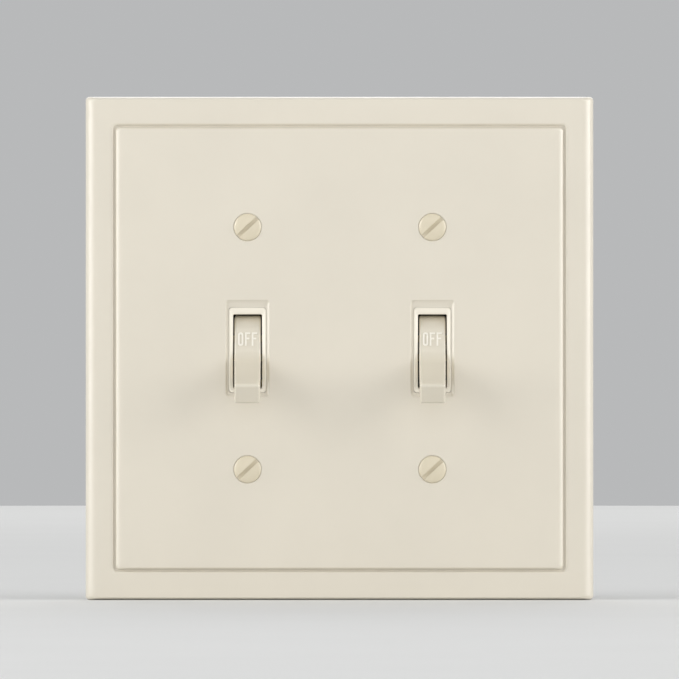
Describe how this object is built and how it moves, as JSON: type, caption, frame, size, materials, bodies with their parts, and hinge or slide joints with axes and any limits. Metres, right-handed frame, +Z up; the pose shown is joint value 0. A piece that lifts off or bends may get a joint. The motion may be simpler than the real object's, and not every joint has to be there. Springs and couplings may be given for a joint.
{
  "type": "toggle wall switch",
  "caption": "Toggle wall switches ganged behind one square-cornered stamped wall plate, with straps, housings, levers and contact mechanisms.",
  "frame": {"origin": "on the wall plane, midway between the two switches and between their screws", "axes": "+Z up, +X to the right as seen from the room, the levers point along -Y"},
  "size_m": [0.1266, 0.0437, 0.1254],
  "materials": {
    "plate_paint": "smooth satin baked enamel, light almond, over stamped steel",
    "screw_paint": "satin baked enamel, slightly yellower almond",
    "almond_lever": "semi-gloss moulded thermoset, light almond",
    "almond_plastic": "satin moulded thermoset, light almond",
    "housing_plastic": "matte moulded thermoset, dark brown-black",
    "nylon": "natural nylon",
    "fibre": "vulcanised fibre",
    "zinc_steel": "bright zinc plate",
    "spring_steel": "drawn spring steel",
    "silver": "silver alloy",
    "brass": "stamped brass",
    "brass_screw": "brass-plated steel",
    "green_screw": "green-dyed zinc plate"
  },
  "bodies": {
    "root": {"wall_plate": "plate_paint", "plate_screws": "screw_paint", "left_mounting_strap": "zinc_steel", "left_front_cover": "almond_plastic", "left_back_housing": "housing_plastic", "left_rocker_pin": "spring_steel", "left_fixed_contact": "silver", "left_common_terminal": "brass", "left_load_terminal": "brass", "left_terminal_screws": "brass_screw", "left_ground_screw": "green_screw", "left_mounting_screws": "zinc_steel", "left_screw_retainers": "fibre", "left_rivets": "zinc_steel", "right_mounting_strap": "zinc_steel", "right_front_cover": "almond_plastic", "right_back_housing": "housing_plastic", "right_rocker_pin": "spring_steel", "right_fixed_contact": "silver", "right_common_terminal": "brass", "right_load_terminal": "brass", "right_terminal_screws": "brass_screw", "right_ground_screw": "green_screw", "right_mounting_screws": "zinc_steel", "right_screw_retainers": "fibre", "right_rivets": "zinc_steel"},
    "left_toggle": {"left_toggle_lever": "almond_lever", "left_plunger_spring": "spring_steel"},
    "left_plunger": {"left_plunger": "nylon"},
    "left_rocker": {"left_rocker_blade": "brass", "left_moving_contact": "silver"},
    "right_toggle": {"right_toggle_lever": "almond_lever", "right_plunger_spring": "spring_steel"},
    "right_plunger": {"right_plunger": "nylon"},
    "right_rocker": {"right_rocker_blade": "brass", "right_moving_contact": "silver"}
  },
  "joints": [
    {"name": "left_toggle", "type": "hinge", "parent": "root", "child": "left_toggle", "pos_m": [-0.02302, 0.0035, 0], "axis": [-1, 0, 0], "range_deg": [0, 54]},
    {"name": "left_rocker", "type": "hinge", "parent": "root", "child": "left_rocker", "pos_m": [-0.02302, 0.0152, 0], "axis": [-1, 0, 0], "range_deg": [-16, 0]},
    {"name": "left_plunger", "type": "slide", "parent": "left_toggle", "child": "left_plunger", "axis": [0, 0.891, 0.454], "range_m": [-0.0006, 0], "deforming": ["left_plunger_spring"]},
    {"name": "right_toggle", "type": "hinge", "parent": "root", "child": "right_toggle", "pos_m": [0.02302, 0.0035, 0], "axis": [-1, 0, 0], "range_deg": [0, 54]},
    {"name": "right_rocker", "type": "hinge", "parent": "root", "child": "right_rocker", "pos_m": [0.02302, 0.0152, 0], "axis": [-1, 0, 0], "range_deg": [-16, 0]},
    {"name": "right_plunger", "type": "slide", "parent": "right_toggle", "child": "right_plunger", "axis": [0, 0.891, 0.454], "range_m": [-0.0006, 0], "deforming": ["right_plunger_spring"]}
  ],
  "couplings": [
    {"joint": "left_rocker", "follows": "left_toggle", "ratio": -0.2963},
    {"joint": "right_rocker", "follows": "right_toggle", "ratio": -0.2963}
  ]
}
